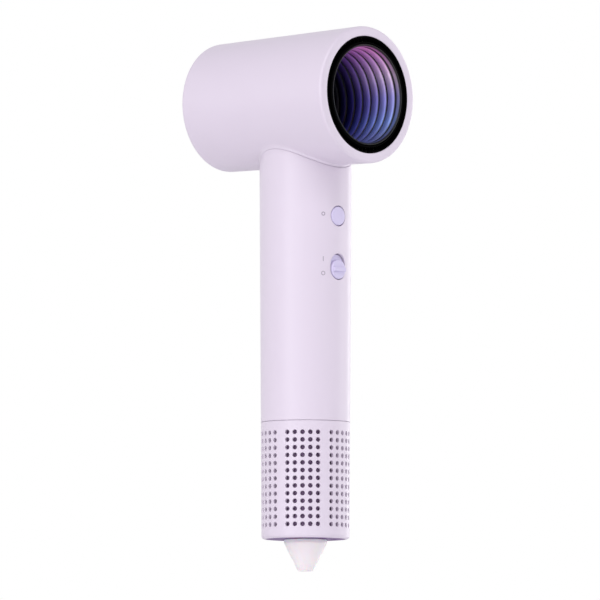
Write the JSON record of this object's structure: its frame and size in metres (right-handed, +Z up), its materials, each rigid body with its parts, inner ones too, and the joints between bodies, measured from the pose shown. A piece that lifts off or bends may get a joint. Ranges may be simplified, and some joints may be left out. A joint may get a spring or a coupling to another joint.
{
  "type": "travel hair dryer",
  "caption": "Compact travel hair dryer: round head with a ring outlet around a ribbed bore, straight round handle, slide switch, mode button and pull-off air inlet sleeve.",
  "frame": {"origin": "on the handle's axis in the middle of the grip, 85.4 mm below the head's axis", "axes": "+Z up the handle to the head, air leaves along -Y, X across"},
  "size_m": [0.0616, 0.088, 0.2431],
  "materials": {
    "lilac_plastic": "satin moulded shell",
    "violet_plastic": "satin buttons",
    "plum_plastic": "satin base",
    "black_plastic": "black outlet",
    "grey_plastic": "inner frame",
    "bore_metal": "polished, pink to blue coating",
    "frosted_rubber": "frosted",
    "black_rubber": "matte",
    "steel": "plain",
    "aluminium": "machined",
    "copper": "enamelled wire",
    "magnet": "nickel plated magnet",
    "mica": "mica sheet",
    "circuit_board": "solder mask"
  },
  "bodies": {
    "housing": {"head_shell": "lilac_plastic", "outlet_grille": "black_plastic", "magnet_ring": "steel", "bore_liner": "bore_metal", "bore_end_plate": "black_plastic", "ion_emitter": "steel", "heater_former": "mica", "heater_sleeve": "mica", "heater_coil": "steel", "thermal_fuse": "steel", "temperature_sensor": "black_plastic", "air_bulkhead": "grey_plastic", "rear_cover": "lilac_plastic", "rear_gasket": "black_rubber", "supply_board": "circuit_board", "supply_board_screw_1": "steel", "supply_board_screw_2": "steel", "supply_board_screw_3": "steel", "smoothing_capacitor": "black_plastic", "ion_generator": "grey_plastic", "heat_sink": "aluminium", "handle_shell": "lilac_plastic", "neck_seal": "black_rubber", "handle_chassis": "grey_plastic", "control_board": "circuit_board", "tact_switch": "black_plastic", "switch_well": "violet_plastic", "slide_switch": "steel", "motor_housing": "aluminium", "bearing_cap_lower": "aluminium", "bearing_cap_upper": "aluminium", "bearing_lower": "steel", "bearing_upper": "steel", "winding_lower": "copper", "winding_upper": "copper", "stator_core": "steel", "motor_damper_lower": "black_rubber", "motor_damper_upper": "black_rubber", "filter_mesh": "steel", "inlet_cage": "grey_plastic", "base_plate": "plum_plastic", "base_screw_1": "steel", "base_screw_2": "steel", "base_screw_3": "steel", "strain_relief": "frosted_rubber", "cord_clamp": "grey_plastic", "clamp_screw_left": "steel", "clamp_screw_right": "steel", "supply_lead_live": "copper", "supply_lead_neutral": "copper"},
    "rotor": {"rotor_shaft": "steel", "rotor_magnet": "magnet", "impeller": "aluminium"},
    "mode_button": {"mode_button": "violet_plastic"},
    "power_knob": {"power_knob": "violet_plastic", "switch_carrier": "black_plastic"},
    "inlet_sleeve": {"inlet_sleeve": "lilac_plastic"}
  },
  "joints": [
    {"name": "rotor_spin", "type": "hinge", "parent": "housing", "child": "rotor", "pos_m": [0, 0, -0.04586], "axis": [0, 0, 1], "continuous": true},
    {"name": "mode_button_press", "type": "slide", "parent": "housing", "child": "mode_button", "axis": [0, 1, 0], "range_m": [0, 0.0006], "stiffness_N_per_m": 1500},
    {"name": "power_knob_slide", "type": "slide", "parent": "housing", "child": "power_knob", "axis": [0, 0, 1], "range_m": [0, 0.0025]},
    {"name": "inlet_sleeve_pull", "type": "slide", "parent": "housing", "child": "inlet_sleeve", "axis": [0, 0, -1], "range_m": [0, 0.06]}
  ]
}
